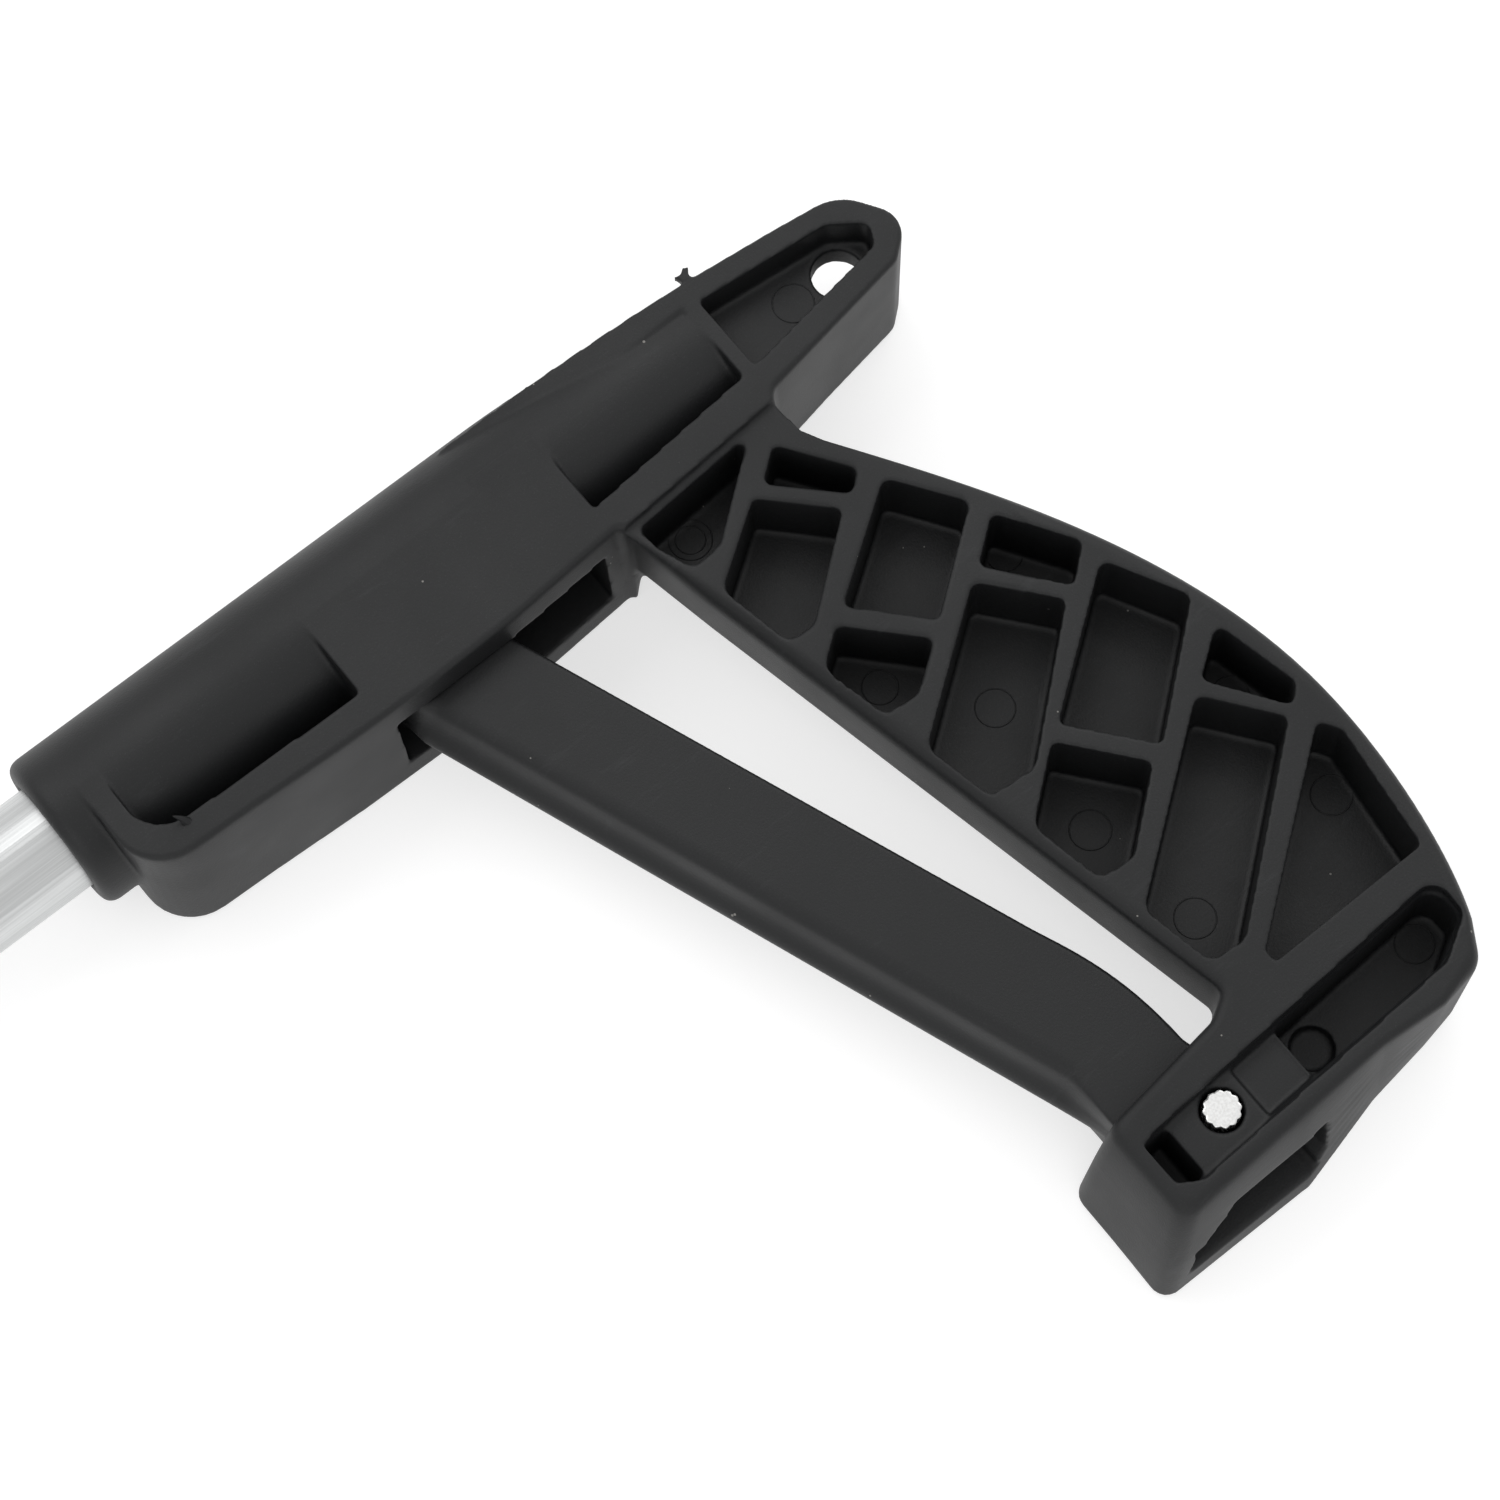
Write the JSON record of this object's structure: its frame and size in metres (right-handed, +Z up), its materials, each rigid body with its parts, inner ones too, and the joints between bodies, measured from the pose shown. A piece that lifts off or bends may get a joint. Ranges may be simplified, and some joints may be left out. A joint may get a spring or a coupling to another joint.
{
  "type": "litter picker",
  "caption": "Hand-held reaching and pick-up tool: ribbed pistol-grip handle with a squeeze trigger, thin tube, pull rod and two rubber-padded jaws.",
  "frame": {"origin": "middle of the tool's bounding box in plan, on the surface the tool lies on", "axes": "+X along the tube towards the tail of the handle, +Y away from the grip, +Z up out of the handle's open ribbed face"},
  "size_m": [0.6047, 0.2024, 0.028],
  "materials": {
    "handle_black": "moulded, fine grain",
    "trigger_black": "moulded, satin",
    "head_black": "moulded, fine grain",
    "jaw_black": "moulded, satin",
    "pad_rubber": "matt",
    "tube_aluminium": "satin extruded",
    "pin_steel": "bright",
    "rod_steel": "drawn",
    "spring_steel": "drawn wire",
    "guide_nylon": "natural nylon"
  },
  "bodies": {
    "handle": {"handle_body": "handle_black", "tube": "tube_aluminium", "trigger_pivot_pin": "pin_steel", "tube_screw": "rod_steel", "tube_plug": "guide_nylon", "front_guide": "guide_nylon", "return_spring": "spring_steel", "jaw_head": "head_black", "head_screw": "rod_steel", "jaw_pin_left": "pin_steel", "jaw_pin_right": "pin_steel"},
    "trigger": {"trigger": "trigger_black"},
    "rod": {"pull_rod": "rod_steel", "rod_yoke": "rod_steel", "rod_yoke_pin": "pin_steel", "spring_collar": "rod_steel", "crosshead": "guide_nylon", "crosshead_pin": "pin_steel"},
    "jaw_left": {"jaw_left": "jaw_black", "pad_left": "pad_rubber", "pad_rivet_left": "pin_steel"},
    "jaw_right": {"jaw_right": "jaw_black", "pad_right": "pad_rubber", "pad_rivet_right": "pin_steel"}
  },
  "joints": [
    {"name": "trigger_hinge", "type": "hinge", "parent": "handle", "child": "trigger", "pos_m": [0.24484, -0.08618, 0.014], "axis": [0, 0, -1], "range_deg": [0, 6], "stiffness_Nm_per_rad": 5, "springref_deg": -5.73},
    {"name": "rod_slide", "type": "slide", "parent": "handle", "child": "rod", "axis": [1, 0, 0], "range_m": [0, 0.0174], "deforming": ["return_spring"]},
    {"name": "jaw_left_hinge", "type": "hinge", "parent": "handle", "child": "jaw_left", "pos_m": [-0.24166, 0.07582, 0.014], "axis": [0, 0, 1], "range_deg": [0, 24]},
    {"name": "jaw_right_hinge", "type": "hinge", "parent": "handle", "child": "jaw_right", "pos_m": [-0.24166, 0.05782, 0.014], "axis": [0, 0, -1], "range_deg": [0, 24]}
  ],
  "couplings": [
    {"joint": "rod_slide", "follows": "trigger_hinge", "m_per_rad": 0.166},
    {"joint": "jaw_left_hinge", "follows": "trigger_hinge", "ratio": 3.996},
    {"joint": "jaw_right_hinge", "follows": "trigger_hinge", "ratio": 3.996}
  ]
}
